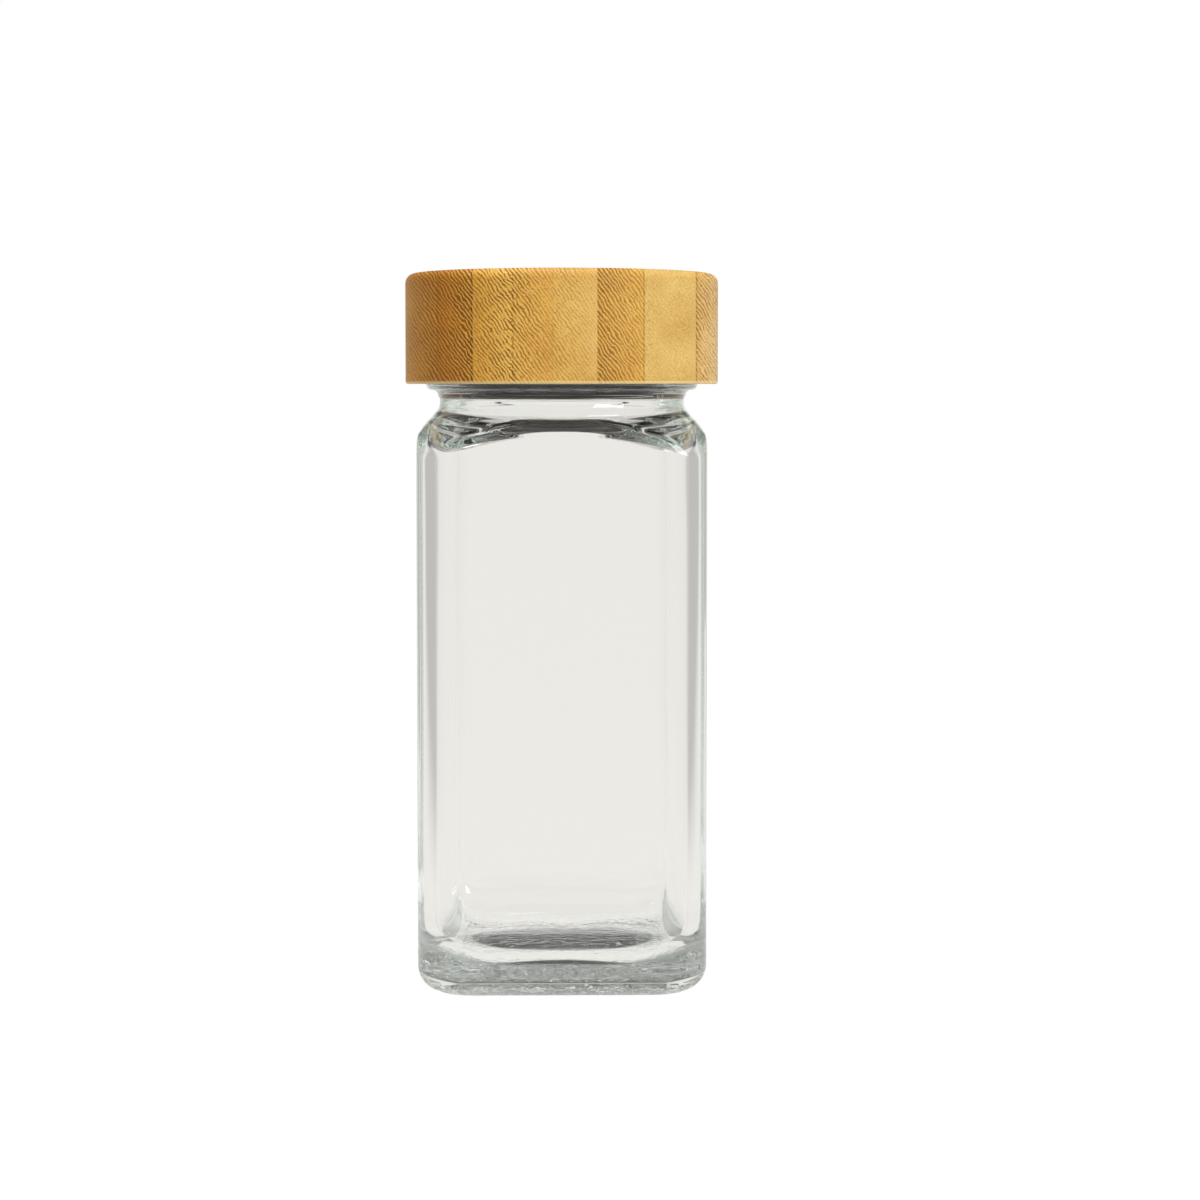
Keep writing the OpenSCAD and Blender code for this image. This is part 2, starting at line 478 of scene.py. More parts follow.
@dataclass(frozen=True)
class Thread:
    """Right-handed screw thread, as a height over its wall.

    Attributes:
        start_z: Height of its middle line where it begins.
        start_angle: Direction where it begins, in degrees.
        height: How far it stands out of its wall.
        root: Its width at the wall.
        crest: Its width at the top.
        pitch: Its rise in one turn.
        turns: Number of turns that it makes.
        fade: Angle over which each end fades, in degrees.
    """

    start_z: float
    start_angle: float
    height: float
    root: float
    crest: float
    pitch: float = 4.23
    turns: float = 1.25
    fade: float = 26.0

    def over(self, angle: float, z: float) -> float:
        """Finds how far the thread stands out at one place.

        Args:
            angle: Direction from the axis, in radians.
            z: Height.

        Returns:
            Height over the wall.
        """
        first = (math.degrees(angle) - self.start_angle) % 360
        best = 0.0
        for lap in range(math.ceil(self.turns)):
            along = first + 360 * lap
            left = 360 * self.turns - along
            if left < 0:
                break
            share = smooth_step(0, self.fade, along) * smooth_step(0, self.fade, left)
            off = abs(z - self.start_z - self.pitch * along / 360)
            flank = 1 - smooth_step(self.crest / 2, self.root / 2, off)
            best = max(best, self.height * share * flank)
        return best


@dataclass
class GlassJar:
    """Square jar of clear soda-lime glass, blown into its mould.

    Attributes:
        half_width: Half the body's width across its flat sides.
        corner: Radius of the upright corners outside.
        inner_half_width: Half the cavity's width.
        inner_corner: Radius of the upright corners inside.
        heel: Radius where the sides turn under the base.
        inner_heel: Radius between the floor and the walls.
        floor_z: Height of the inside floor.
        foot_corner: Radius of the upright corners at the foot of the heel.
        heel_steps: Number of outlines round a heel.
        punt_r: Radius of the hollow under the base.
        punt_h: Depth of that hollow.
        punt_edge: Width over which the hollow comes down to the bearing ring.
        punt_steps: Number of outlines in the hollow.
        crinkle_h: Height of the crinkles in that hollow.
        crinkle_edge: Width over which they fade at its edge.
        fold: Depth of the crinkles' sharp folds, as a share of their height.
        folds_per_mm: Closeness of those folds.
        grain: Height of the finer bumps on them, as the same share.
        grain_per_mm: Closeness of those bumps.
        stipple_h: Height of the dots on the bearing ring.
        stipple_count: Number of dots round the base.
        stipple_rows: Number of rows that the bearing ring is cut into.
        neck_r: Radius of the neck.
        bore_r: Radius of the mouth.
        bead_r: Radius of the bead.
        bead_z: Height of the bead's underside.
        bead_t: The bead's thickness.
        bead_round: Radius of the bead's edges, as a share of its thickness.
        rim_edge: Radius of the rim's outer edge.
        mouth_edge: Radius of the mouth's inner edge.
        thread_steps: Number of outlines up the threaded wall.
        ripple_out: How far the outside of a flat side waves.
        ripple_in: How far the inside of a flat side waves.
        ripple_foot: Heights where the waves begin and are in full.
        ripple_head: Heights where they begin to fade and are gone.
        ripple_round: Radius of the jar as counted in waves, so a turn passes 14 of them.
        ripple_long: Length of a wave up the side.
        shoulder: Height and reach of points on the middle of the shoulder's sides, up to the bead.
        brow: Height and radius of the round that limits the shoulder at its corners.
        shoulder_corner: Height and radius of the shoulder's upright corners.
        shoulder_blend: Width over which a flat side runs into the shoulder.
        vault: Height and radius of points on the shoulder's inside.
        vault_blend: Width over which a wall runs into the vault.
        thread: The screw thread on the neck.
    """

    half_width: float = 22.0
    corner: float = 6.0
    inner_half_width: float = 19.6
    inner_corner: float = 5.0
    heel: float = 4.5
    inner_heel: float = 6.5
    floor_z: float = 4.2
    foot_corner: float = 4.5
    heel_steps: int = 14
    punt_r: float = 14.5
    punt_h: float = 1.1
    punt_edge: float = 3.2
    punt_steps: int = 40
    crinkle_h: float = 0.34
    crinkle_edge: float = 1.5
    fold: float = 2.5
    folds_per_mm: float = 0.38
    grain: float = 0.6
    grain_per_mm: float = 1.1
    stipple_h: float = 0.18
    stipple_count: int = 80
    stipple_rows: int = 8
    neck_r: float = 19.55
    bore_r: float = 16.75
    bead_r: float = 21.3
    bead_z: float = 91.9
    bead_t: float = 2.1
    bead_round: float = 0.43
    rim_edge: float = 1.0
    mouth_edge: float = 0.8
    thread_steps: int = 52
    ripple_out: float = 0.05
    ripple_in: float = 0.12
    ripple_foot: tuple[float, float] = (6.0, 16.0)
    ripple_head: tuple[float, float] = (70.0, 81.0)
    ripple_round: float = 2.2
    ripple_long: float = 34.0
    shoulder: Pairs = (
        (79.0, 29.7), (80.5, 29.2), (81.5, 28.6), (82.3, 27.9), (82.9, 27.25), (83.3, 26.55),
        (83.7, 25.55), (84.1, 24.55), (84.6, 23.5), (85.0, 22.8), (85.4, 22.2), (85.8, 21.75),
        (86.4, 21.38), (87.0, 21.02), (87.5, 20.7), (88.0, 20.38), (88.45, 20.02),
        (88.8, 19.74), (89.05, 19.58), (89.4, 19.48), (90.0, 19.42), (90.9, 19.42),
    )
    brow: Pairs = (
        (82.0, 29.5), (83.0, 28.6), (84.0, 27.6), (85.0, 26.2), (86.0, 24.2), (87.0, 22.0),
        (87.8, 20.6), (88.4, 20.06), (88.8, 19.74), (89.05, 19.58), (89.4, 19.48), (90.0, 19.42),
        (90.9, 19.42),
    )
    shoulder_corner: Pairs = (
        (82.0, 6.0), (84.0, 7.0), (86.0, 9.0), (88.0, 14.0), (89.0, 19.0),
    )
    shoulder_blend: float = 1.0
    vault: Pairs = (
        (79.0, 27.6), (81.0, 26.8), (82.2, 26.0), (82.9, 25.2), (83.5, 24.1), (84.1, 22.7),
        (84.7, 21.2), (85.3, 19.6), (85.75, 18.6), (86.2, 17.75), (86.6, 17.2), (86.9, 16.93),
        (87.3, 16.8), (88.0, 16.78), (89.6, 16.85), (90.6, 17.06), (91.6, 16.96), (93.0, 16.78),
        (94.5, 16.75),
    )
    vault_blend: float = 0.3
    thread: Thread = field(
        default_factory=lambda: Thread(
            start_z=95.66, start_angle=0, height=1.25, root=2.4, crest=0.9
        )
    )

    def rim_z(self) -> float:
        """Returns the height of the rim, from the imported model."""
        return node_size("glass_jar")[1].z

    def ripple(self, amount: float, seed: float) -> Relief:
        """Makes the slow waves that blowing leaves in the flat sides.

        Args:
            amount: Greatest height of a wave.
            seed: Shifts the waves, so that the two faces of a wall differ.

        Returns:
            The relief of a wall.
        """

        def relief(angle: float, z: float) -> float:
            """Finds how far a wave stands out.

            Args:
                angle: Direction from the axis, in radians.
                z: Height.

            Returns:
                The wave's height.
            """
            share = smooth_step(*self.ripple_foot, z) * (1 - smooth_step(*self.ripple_head, z))
            x, y = self.ripple_round * math.cos(angle), self.ripple_round * math.sin(angle)
            return amount * share * noise.noise(Vector((x, y, z / self.ripple_long + seed)))

        return relief

    def stipple(self, row: int) -> Lift:
        """Makes one row of the dots that roughen the bearing ring.

        Args:
            row: The row's number: every second row is shifted by half a dot.

        Returns:
            The lift of the row's points.
        """
        shift = math.pi * (row % 2)

        def lift(angle: float) -> float:
            """Returns how far a dot comes down at one angle."""
            wave = math.cos(self.stipple_count * angle + shift)
            return -self.stipple_h * max(0.0, wave)

        return lift

    def crinkle(self, radius: float) -> Lift:
        """Makes the crinkles that the cold mould leaves in the hollow of the base.

        Args:
            radius: Distance from the axis.

        Returns:
            The lift of a circle's points.
        """
        inside = self.punt_r - self.crinkle_edge
        share = self.crinkle_h * (1 - smooth_step(inside, self.punt_r, radius))
        seed = 3.1

        def lift(angle: float) -> float:
            """Finds how far the hollow's roof waves.

            Args:
                angle: Direction from the axis, in radians.

            Returns:
                The rise.
            """
            where = Vector((radius * math.cos(angle), radius * math.sin(angle), seed))
            folds = 1 - self.fold * abs(noise.noise(where * self.folds_per_mm))
            return share * (folds + self.grain * noise.noise(where * self.grain_per_mm))

        return lift

    def base_rings(self) -> list[Ring]:
        """Makes the outlines from the middle of the hollow base to the foot of the sides.

        Returns:
            The outlines, in order.
        """
        rings = []
        for i in range(1, self.punt_steps + 1):
            r = self.punt_r * i / self.punt_steps
            rise = self.punt_h * (1 - smooth_step(self.punt_r - self.punt_edge, self.punt_r, r))
            rings.append(Ring(self.stipple_h + rise, r, lift=self.crinkle(r)))
        foot = self.half_width - self.heel
        for row in range(1, self.stipple_rows):
            t = row / self.stipple_rows
            reach = self.punt_r + (foot - self.punt_r) * t
            corner = self.punt_r + (self.foot_corner - self.punt_r) * t
            rings.append(Ring(self.stipple_h, reach, corner, lift=self.stipple(row)))
        for i in range(self.heel_steps + 1):
            turn = math.pi / 2 * i / self.heel_steps
            out = self.heel * math.sin(turn)
            corner = self.foot_corner + (self.corner - self.foot_corner) * math.sin(turn)
            rings.append(Ring(self.heel * (1 - math.cos(turn)), foot + out, corner))
        return rings

    def outer_rings(self) -> list[Ring]:
        """Makes the outlines of the sides, the shoulder and the neck up to the bead.

        Returns:
            The outlines, in order.
        """
        waves = self.ripple(self.ripple_out, seed=0.0)
        # The steps are finest where the shoulder turns fastest
        heights = levels(
            (self.heel + 0.5, 78, 2.5), (78, 82.5, 0.4), (82.5, 86.5, 0.12), (86.5, 90.6, 0.25)
        )
        return [
            Ring(
                z, soft_min(self.half_width, curve(self.shoulder, z), self.shoulder_blend),
                curve(self.shoulder_corner, z), relief=waves, limit=curve(self.brow, z),
                blend=self.shoulder_blend,
            )
            for z in heights
        ]

    def finish_rings(self) -> list[Ring]:
        """Makes the circles of the bead, the threaded wall and the rim.

        Returns:
            The circles, in order.
        """
        round_r = self.bead_round * self.bead_t
        top = self.bead_z + self.bead_t
        edge = self.bead_r - round_r
        fillet = edge - self.shoulder[-1][1]
        rings = arc(edge, self.bead_z - fillet, fillet, 180, 90, steps=8)[:-1]
        rings += arc(edge, self.bead_z + round_r, round_r, -90, 0, steps=8)
        rings += arc(edge, top - round_r, round_r, 0, 90, steps=6)
        # Two circles soften the crease between the bead and the wall
        rings += [Ring(top + 0.02, self.neck_r + 0.5), Ring(top + 0.2, self.neck_r + 0.1)]
        wall_top = self.rim_z() - self.rim_edge
        low = top + self.bead_t / 6
        for i in range(self.thread_steps):
            z = low + (wall_top - low) * i / self.thread_steps
            rings.append(Ring(z, self.neck_r, relief=self.thread.over))
        rings += arc(self.neck_r - self.rim_edge, wall_top, self.rim_edge, 0, 90, steps=7)
        inner = self.bore_r + self.mouth_edge
        rings += arc(inner, self.rim_z() - self.mouth_edge, self.mouth_edge, 90, 180, steps=7)
        return rings

    def inner_rings(self) -> list[Ring]:
        """Makes the outlines of the bore, the inside of the shoulder, the walls and the floor.

        Returns:
            The outlines, in order.
        """
        wide, corner = self.inner_half_width, self.inner_corner
        waves = self.ripple(self.ripple_in, seed=7.3)
        foot_z = self.floor_z + self.inner_heel
        # From the mouth down, with the finest steps where the vault turns fastest
        heights = levels(
            (100, 94, 1.5), (94, 88, 0.3), (88, 84.8, 0.1), (84.8, 81, 0.14), (81, 76, 0.5),
            (76, foot_z + 0.5, 2.5),
        )
        rings = [
            Ring(
                z, wide, corner, relief=waves, limit=curve(self.vault, z), blend=self.vault_blend
            )
            for z in heights
        ]
        foot = wide - self.inner_heel
        heel_steps, floor_steps = 16, 12
        for i in range(heel_steps + 1):
            turn = math.pi / 2 * i / heel_steps
            reach = foot + self.inner_heel * math.cos(turn)
            z = foot_z - self.inner_heel * math.sin(turn)
            rings.append(Ring(z, reach, min(reach, corner + (wide - reach) / 2)))
        # The corners grow towards the middle, until the outlines are circles
        last = corner + self.inner_heel / 2
        for i in range(1, floor_steps):
            reach = foot * (1 - i / floor_steps)
            rings.append(Ring(self.floor_z, reach, min(reach, last + i)))
        return rings

    def build(self, material: bpy.types.Material) -> None:
        """Builds the jar and puts it in the place of its node.

        Args:
            material: The glass.
        """
        rings = self.base_rings() + self.outer_rings() + self.finish_rings() + self.inner_rings()
        piece = Lathe(segments=240).build("glass_jar_body", rings)
        place_piece(piece, material, Body.JAR, "glass_jar")


@dataclass
class BambooLid:
    """Lid shell turned from laminated bamboo and sanded.

    Attributes:
        outer_r: Radius of the lid.
        bore_r: Radius of the hollow for the liner.
        top_edge: Radius of the top edge.
        foot_edge: Radius of the bottom edges.
    """

    outer_r: float = 24.5
    bore_r: float = 22.4
    top_edge: float = 1.5
    foot_edge: float = 0.4

    def rings(self) -> list[Ring]:
        """Makes the circles from the middle of the hollow's ceiling to the middle of the top.

        Returns:
            The circles, in order.
        """
        low, high = node_size("bamboo_lid")
        ceiling = node_size("lid_liner")[1].z
        foot = low.z + self.foot_edge
        flat = self.outer_r - self.top_edge
        rings = flat_face(ceiling, self.bore_r, steps=4)
        # Two circles near the bore's ends keep its shading straight
        rings += [Ring(z, self.bore_r) for z in (ceiling, ceiling - 0.2, foot + 0.3)]
        rings += arc(self.bore_r + self.foot_edge, foot, self.foot_edge, 180, 270, steps=5)
        rings += arc(self.outer_r - self.foot_edge, foot, self.foot_edge, 270, 360, steps=5)
        rings += [Ring(low.z + (high.z - low.z) * i / 6, self.outer_r) for i in range(1, 6)]
        rings += arc(flat, high.z - self.top_edge, self.top_edge, 0, 90, steps=10)
        rings += flat_face(high.z, flat)[::-1]
        return rings

    def build(self, material: bpy.types.Material) -> None:
        """Builds the lid shell and puts it in the place of its node.

        Args:
            material: The bamboo.
        """
        piece = Lathe(segments=192).build("bamboo_lid_shell", self.rings())
        place_piece(piece, material, Body.LID, "bamboo_lid")


@dataclass
class LidLiner:
    """Moulded liner with the female thread, glued into the bamboo by its ribs.

    Attributes:
        outer_r: Radius of its wall outside.
        bore_r: Radius of its bore.
        ceiling_t: Thickness of its top.
        edge: Radius of its edges.
        rib_count: Number of ribs.
        rib_r: Radius of a rib.
        rib_reach: How far a rib reaches from the axis.
        thread_steps: Number of steps up the threaded bore.
        thread: The female thread in the bore.
    """

    outer_r: float = 22.2
    bore_r: float = 21.1
    ceiling_t: float = 1.2
    edge: float = 0.3
    rib_count: int = 24
    rib_r: float = 0.4
    rib_reach: float = 22.35
    thread_steps: int = 64
    thread: Thread = field(
        default_factory=lambda: Thread(
            start_z=95.55, start_angle=124.7, height=1.25, root=2.0, crest=0.5
        )
    )

    def rings(self) -> list[Ring]:
        """Makes the circles from the middle of the top, round the foot, to the ceiling.

        Returns:
            The circles, in order.
        """
        low, high = node_size("lid_liner")
        ceiling = high.z - self.ceiling_t
        flat = self.outer_r - self.edge
        foot = low.z + self.edge
        rings = flat_face(high.z, flat, steps=4)
        rings += arc(flat, high.z - self.edge, self.edge, 90, 0)
        rings += arc(flat, foot, self.edge, 0, -90)
        rings += arc(self.bore_r + self.edge, foot, self.edge, -90, -180)
        bottom = foot + 0.1
        top = ceiling - self.edge
        for i in range(self.thread_steps + 1):
            z = bottom + (top - bottom) * i / self.thread_steps
            rings.append(Ring(z, self.bore_r, relief=self.inward))
        rings += arc(self.bore_r - self.edge, top, self.edge, 0, 90)
        rings += flat_face(ceiling, self.bore_r - self.edge, steps=4)[::-1]
        return rings

    def inward(self, angle: float, z: float) -> float:
        """Returns the thread's height over the bore, which stands inwards."""
        return -self.thread.over(angle, z)

    def build(self, material: bpy.types.Material) -> None:
        """Builds the liner and puts it in the place of its node.

        Args:
            material: The plastic.
        """
        piece = Lathe(segments=240).build("threaded_lid_liner", self.rings())
        low, high = node_size("lid_liner")
        bottom = low.z + self.rib_r
        top = high.z - self.ceiling_t
        bm = bmesh.new()
        bm.from_mesh(piece.data)
        for i in range(self.rib_count):
            rib = bmesh.ops.create_cone(
                bm, cap_ends=True, segments=12, radius1=self.rib_r * MM, radius2=self.rib_r * MM,
                depth=(top - bottom) * MM,
            )["verts"]
            across = Vector((self.rib_reach - self.rib_r, 0, (top + bottom) / 2)) * MM
            bmesh.ops.translate(bm, verts=rib, vec=across)
            turn = Matrix.Rotation(2 * math.pi * i / self.rib_count, 3, "Z")
            bmesh.ops.rotate(bm, verts=rib, cent=(0, 0, 0), matrix=turn)
        bm.to_mesh(piece.data)
        bm.free()
        shade_smooth(piece.data)
        place_piece(piece, material, Body.LID, "lid_liner")


@dataclass
class SifterInsert:
    """Shaker disc with its skirt, pressed into the mouth.

    Attributes:
        flange_r: Radius of the flange on the rim.
        flange_t: Thickness of the flange.
        plate_t: Thickness of the plate with the holes.
        skirt_r: Radius of the skirt outside.
        skirt_t: Thickness of the skirt.
        ring_r: Radius of a sealing ring's section.
        ring_reach: How far a sealing ring reaches from the axis.
        ring_places: Where the sealing rings lie, as shares of the skirt's height.
        hole_r: Radius of a hole.
        hole_ring_r: Distance of the outer holes from the middle one.
        hole_count: Number of holes round the middle one.
        hole_edge: Width of the rounding at a hole.
        edge: Radius of the moulded edges.
    """

    flange_r: float = 18.95
    flange_t: float = 1.0
    plate_t: float = 1.2
    skirt_r: float = 16.5
    skirt_t: float = 1.2
    ring_r: float = 0.5
    ring_reach: float = 16.75
    ring_places: tuple[float, float] = (0.7, 0.3)
    hole_r: float = 2.5
    hole_ring_r: float = 9.0
    hole_count: int = 6
    hole_edge: float = 0.18
    edge: float = 0.25

    def rings(self) -> list[Ring]:
        """Makes the circles from the middle of the plate's top, round the skirt, to below it.

        Returns:
            The circles, in order.
        """
        low, high = node_size("sifter_insert")
        plate_top = high.z - self.flange_t
        inner = self.skirt_r - self.skirt_t
        e = self.edge
        crease = 0.1
        rings = flat_face(plate_top, inner)
        rings += arc(inner - e, plate_top + e, e, -90, 0)
        rings += arc(inner + e, high.z - e, e, 180, 90)
        rings += arc(self.flange_r - e, high.z - e, e, 90, 0)
        rings += arc(self.flange_r - e, plate_top + e, e, 0, -90)
        rings += [Ring(plate_top, self.skirt_r + crease), Ring(plate_top - crease, self.skirt_r)]
        span = plate_top - low.z
        centre = self.ring_reach - self.ring_r
        out = math.degrees(math.acos((self.skirt_r - centre) / self.ring_r))
        for share in self.ring_places:
            rings += arc(centre, low.z + share * span, self.ring_r, out, -out, steps=6)
        rings += arc(self.skirt_r - e, low.z + e, e, 0, -90)
        rings += arc(inner + e, low.z + e, e, -90, -180)
        under = plate_top - self.plate_t
        rings += arc(inner - e, under - e, e, 0, 90)
        rings += flat_face(under, inner - e)[::-1]
        return rings

    def cutter(self) -> bpy.types.Object:
        """Makes the pins that leave the holes, with a flare at each end for a soft edge.

        Returns:
            The pins, as one object.
        """
        top = node_size("sifter_insert")[1].z - self.flange_t
        under = top - self.plate_t
        soft = self.hole_edge
        # Each pin goes on past both faces, so that the cut is clean
        past, flare, hair = 1.0, soft + 0.6, 0.001
        steps = [
            (under - past, flare), (under - hair, soft), (under + soft, 0.0),
            (top - soft, 0.0), (top + hair, soft), (top + past, flare),
        ]
        bm = bmesh.new()
        for i in range(self.hole_count + 1):
            away = self.hole_ring_r if i < self.hole_count else 0.0
            pin = bmesh.ops.create_circle(bm, cap_ends=True, segments=48, radius=1.0)["verts"]
            ends = set(pin)
            rim = [e for e in bm.edges if e.verts[0] in ends and e.verts[1] in ends]
            self._grow(bm, pin, rim, steps, away, 2 * math.pi * i / self.hole_count)
        bmesh.ops.recalc_face_normals(bm, faces=bm.faces)
        return finish_mesh("hole_pins", bm)

    def _grow(
        self,
        bm: bmesh.types.BMesh,
        pin: list[bmesh.types.BMVert],
        rim: list[bmesh.types.BMEdge],
        steps: Sequence[tuple[float, float]],
        away: float,
        turn: float,
    ) -> None:
        """Draws one pin upwards from its first circle.

        Args:
            bm: The mesh.
            pin: Points of the first circle, of radius 1.
            rim: Its edges.
            steps: Height and extra radius of each circle in millimetres.
            away: The pin's distance from the axis.
            turn: Its direction in radians.
        """
        centre = Vector((away * math.cos(turn), away * math.sin(turn), 0))
        flat = {v: v.co.copy() for v in pin}
        for number, (z, extra) in enumerate(steps):
            if number:
                fresh, rim = extrude_edges(bm, rim)
                flat = {v: self._unit(v.co / MM - centre) for v in fresh}
            for vert, unit in flat.items():
                vert.co = (centre + unit * (self.hole_r + extra) + Vector((0, 0, z))) * MM
        bmesh.ops.edgeloop_fill(bm, edges=rim)

    @staticmethod
    def _unit(offset: Vector) -> Vector:
        """Returns a level direction of length 1."""
        return Vector((offset.x, offset.y, 0)).normalized()

    def build(self, material: bpy.types.Material) -> None:
        """Builds the shaker disc and puts it in the place of its node.

        Args:
            material: The plastic.
        """
        piece = Lathe(segments=144).build("shaker_disc_insert", self.rings())
        pins = self.cutter()
        drill = piece.modifiers.new("holes", "BOOLEAN")
        drill.operation = "DIFFERENCE"
        drill.solver = "EXACT"
        drill.object = pins
        graph = bpy.context.evaluated_depsgraph_get()
        drilled = bpy.data.meshes.new_from_object(piece.evaluated_get(graph))
        piece.modifiers.clear()
        piece.data = drilled
        bpy.data.objects.remove(pins)
        shade_smooth(piece.data)
        place_piece(piece, material, Body.JAR, "sifter_insert")


@dataclass
class SealDisc:
    """Foam disc in the top of the lid, over the shaker disc's flange.

    Attributes:
        radius: Radius of the disc.
        edge: Radius of its cut edge.
    """

    radius: float = 20.8
    edge: float = 0.2

    def build(self, material: bpy.types.Material) -> None:
        """Builds the disc and puts it in the place of its node.

        Args:
            material: The foam.
        """
        low, high = node_size("seal_disc")
        flat = self.radius - self.edge
        rings = flat_face(low.z, flat)
        rings += arc(flat, low.z + self.edge, self.edge, -90, 0)
        rings += arc(flat, high.z - self.edge, self.edge, 0, 90)
        rings += flat_face(high.z, flat)[::-1]
        piece = Lathe(segments=144).build("foam_seal_disc", rings)
        place_piece(piece, material, Body.SEAL, "seal_disc")


@dataclass(frozen=True)
class SodaLimeGlass:
    """Clear flint glass, blown into its mould and fire-polished.

    Attributes:
        tint: Colour that a thick piece of the glass takes.
        density: How fast it takes that colour.
        ior: Index of refraction.
        shadow: Colour that its shadow takes.
        worn_z: Height below which the base is dull and pitted from its mould and from use.
        worn_fade: Height over which that sets in.
        dullness: Roughness of the dull base.
        patches_per_mm: Closeness of the duller patches.
        pits_per_mm: Closeness of the pits.
        pit_h: Depth of the pits.
    """

    tint: str = "#8fc0a6"
    density: float = 3.0
    ior: float = 1.52
    shadow: str = "#f0f4f1"
    worn_z: float = 2.6
    worn_fade: float = 1.2
    dullness: float = 0.22
    patches_per_mm: float = 0.5
    pits_per_mm: float = 0.75
    pit_h: float = 0.8

    def make(self) -> bpy.types.Material:
        """Makes the glass: its clear skin, its worn base and the tint in its depth.

        Returns:
            The material.
        """
        material, tree = new_material("soda_lime_glass_blown")
        place = place_in_mm(tree)
        height = add_node(tree, "SeparateXYZ", Vector=place).outputs["Z"]
        low = add_node(
            tree, "MapRange", SMOOTH, Value=height, From_Min=self.worn_z,
            From_Max=self.worn_z - self.worn_fade,
        )
        patches = add_node(
            tree, "TexNoise", Vector=place, Scale=self.patches_per_mm, Detail=3.0, Roughness=0.7
        )
        worn = add_node(tree, "Math", TIMES, in0=low, in1=patches)
        # The patches are one half on average, so twice the dullness makes up for them
        dull = add_node(tree, "Math", TIMES, in0=worn, in1=2 * self.dullness)
        # The cold mould and use leave pits a tenth of this size, which wouldn't show
        pits = add_node(
            tree, "TexVoronoi", {"feature": "F1"}, Vector=place, Scale=self.pits_per_mm
        )
        pitted = add_node(tree, "Math", TIMES, in0=pits, in1=worn)
        bump = add_node(tree, "Bump", Strength=1.0, Distance=self.pit_h * MM, Height=pitted)
        # Fire leaves the skin without any roughness: sharp gloss, and clear to see through
        glass = add_node(
            tree, "BsdfPrincipled", Base_Color=linear(WHITE), Roughness=dull, IOR=self.ior,
            Transmission_Weight=1.0, Normal=bump,
        )
        # Light falls through the clear walls, so the jar's shadow stays pale
        shadow_ray = add_node(tree, "LightPath").outputs["Is Shadow Ray"]
        clear = add_node(tree, "BsdfTransparent", Color=linear(self.shadow))
        mix = add_node(tree, "MixShader", Fac=shadow_ray, in1=glass, in2=clear)
        # Traces of iron in the sand: a grey-green that only long ways through the glass show
        depth = add_node(
            tree, "VolumeAbsorption", Color=linear(self.tint), Density=self.density
        )
        add_node(tree, "OutputMaterial", Surface=mix, Volume=depth)
        return material


@dataclass(frozen=True)
class Strip:
    """One strip of the laminated board, from left to right across the lid.

    Attributes:
        right: Where its right-hand glue joint lies, in millimetres from the middle.
        left_colour: Its colour beside its left joint.
        right_colour: Its colour beside its right joint.
        left_grain: Strength of its fibre marks at the left, from 0 to 1.
        right_grain: The same at the right.
        joint: Colour of the glue joint on its right.
    """

    right: float
    left_colour: str
    right_colour: str
    left_grain: float
    right_grain: float
    joint: str


